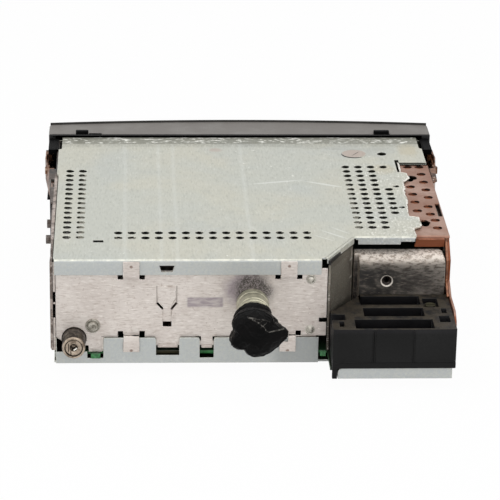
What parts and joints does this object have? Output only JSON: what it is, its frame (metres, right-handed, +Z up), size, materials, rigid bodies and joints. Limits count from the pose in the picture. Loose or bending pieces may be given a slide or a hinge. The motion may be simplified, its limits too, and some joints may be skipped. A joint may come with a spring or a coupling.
{
  "type": "car radio",
  "caption": "Slide-in car radio in a perforated metal case, with rear connector block, aerial socket, heat sink, support stud, and a front with dial, knobs and keys.",
  "frame": {"origin": "bottom centre of the bounding box", "axes": "+Z up as the picture shows the radio, +Y out of the rear panel, the front faces -Y"},
  "size_m": [0.1896, 0.2262, 0.0577],
  "materials": {
    "zinc": "galvanised sheet, weathered",
    "tin": "tinned sheet, stained",
    "copper": "tarnished copper sheet",
    "bronze": "brown spring bronze",
    "aluminium": "milled, streaked",
    "plating": "dull nickel plating",
    "brass": "bare",
    "black": "moulded, dusty",
    "grey": "moulded, satin",
    "tape": "wound tape, creased",
    "white": "moulded",
    "board": "varnished laminate",
    "clear": "clear",
    "red": "moulded"
  },
  "bodies": {
    "chassis": {"top_cover": "zinc", "bottom_cover": "zinc", "rear_panel": "tin", "left_side_wall": "tin", "right_side_wall": "tin", "front_frame": "zinc", "recess_wall": "tin", "heat_sink": "aluminium", "amplifier_chip": "black", "copper_heat_spreader": "copper", "connector_housing": "black", "front_contact_row": "plating", "middle_contact_row": "plating", "rear_contact_row": "plating", "connector_screw": "plating", "rear_panel_screw": "plating", "panel_rivet_1": "plating", "panel_rivet_2": "plating", "aerial_socket_shell": "plating", "aerial_socket_insulator": "white", "aerial_socket_contact": "brass", "rear_support_stud": "plating", "stud_tape": "tape", "main_circuit_board": "board", "tuner_box": "tin", "large_capacitor": "black", "small_capacitor": "black", "choke_coil": "bronze", "volume_control": "plating", "tuning_control": "plating", "front_circuit_board": "board", "front_fascia": "grey", "left_fascia_clip": "black", "right_fascia_clip": "black", "dial_window": "clear", "dial_scale": "white", "pointer_rail": "plating"},
    "volume_knob": {"volume_knob": "black", "volume_shaft": "plating"},
    "balance_ring": {"balance_ring": "black"},
    "tuning_knob": {"tuning_knob": "black", "tuning_shaft": "plating"},
    "tone_ring": {"tone_ring": "black"},
    "dial_pointer": {"dial_pointer": "red"},
    "preset_button_1": {"preset_button_1": "black"},
    "preset_button_2": {"preset_button_2": "black"},
    "preset_button_3": {"preset_button_3": "black"},
    "preset_button_4": {"preset_button_4": "black"},
    "preset_button_5": {"preset_button_5": "black"},
    "band_button_1": {"band_button_1": "black"},
    "band_button_2": {"band_button_2": "black"},
    "left_side_clip": {"left_side_clip": "bronze"},
    "right_side_clip": {"right_side_clip": "bronze"}
  },
  "joints": [
    {"name": "volume_turn", "type": "hinge", "parent": "chassis", "child": "volume_knob", "pos_m": [-0.074, -0.09814, 0.028], "axis": [0, 1, 0], "range_deg": [0, 300]},
    {"name": "balance_turn", "type": "hinge", "parent": "chassis", "child": "balance_ring", "pos_m": [-0.074, -0.09814, 0.028], "axis": [0, 1, 0], "range_deg": [-120, 120]},
    {"name": "tuning_turn", "type": "hinge", "parent": "chassis", "child": "tuning_knob", "pos_m": [0.074, -0.09814, 0.028], "axis": [0, 1, 0], "range_deg": [-540, 540]},
    {"name": "tone_turn", "type": "hinge", "parent": "chassis", "child": "tone_ring", "pos_m": [0.074, -0.09814, 0.028], "axis": [0, 1, 0], "range_deg": [-120, 120]},
    {"name": "pointer_slide", "type": "slide", "parent": "chassis", "child": "dial_pointer", "axis": [1, 0, 0], "range_m": [-0.0455, 0.0455]},
    {"name": "preset_1_press", "type": "slide", "parent": "chassis", "child": "preset_button_1", "axis": [0, 1, 0], "range_m": [0, 0.0018], "stiffness_N_per_m": 900, "springref_m": -0.0006},
    {"name": "preset_2_press", "type": "slide", "parent": "chassis", "child": "preset_button_2", "axis": [0, 1, 0], "range_m": [0, 0.0018], "stiffness_N_per_m": 900, "springref_m": -0.0006},
    {"name": "preset_3_press", "type": "slide", "parent": "chassis", "child": "preset_button_3", "axis": [0, 1, 0], "range_m": [0, 0.0018], "stiffness_N_per_m": 900, "springref_m": -0.0006},
    {"name": "preset_4_press", "type": "slide", "parent": "chassis", "child": "preset_button_4", "axis": [0, 1, 0], "range_m": [0, 0.0018], "stiffness_N_per_m": 900, "springref_m": -0.0006},
    {"name": "preset_5_press", "type": "slide", "parent": "chassis", "child": "preset_button_5", "axis": [0, 1, 0], "range_m": [0, 0.0018], "stiffness_N_per_m": 900, "springref_m": -0.0006},
    {"name": "band_1_press", "type": "slide", "parent": "chassis", "child": "band_button_1", "axis": [0, 1, 0], "range_m": [0, 0.0018], "stiffness_N_per_m": 900, "springref_m": -0.0006},
    {"name": "band_2_press", "type": "slide", "parent": "chassis", "child": "band_button_2", "axis": [0, 1, 0], "range_m": [0, 0.0018], "stiffness_N_per_m": 900, "springref_m": -0.0006},
    {"name": "left_clip_flex", "type": "hinge", "parent": "chassis", "child": "left_side_clip", "pos_m": [0.089, -0.03414, 0.0452], "axis": [0, 0, -1], "range_deg": [0, 3], "stiffness_Nm_per_rad": 6},
    {"name": "right_clip_flex", "type": "hinge", "parent": "chassis", "child": "right_side_clip", "pos_m": [-0.089, -0.03414, 0.0452], "axis": [0, 0, 1], "range_deg": [0, 3], "stiffness_Nm_per_rad": 6}
  ],
  "couplings": [
    {"joint": "pointer_slide", "follows": "tuning_turn", "m_per_rad": 0.0047746}
  ]
}
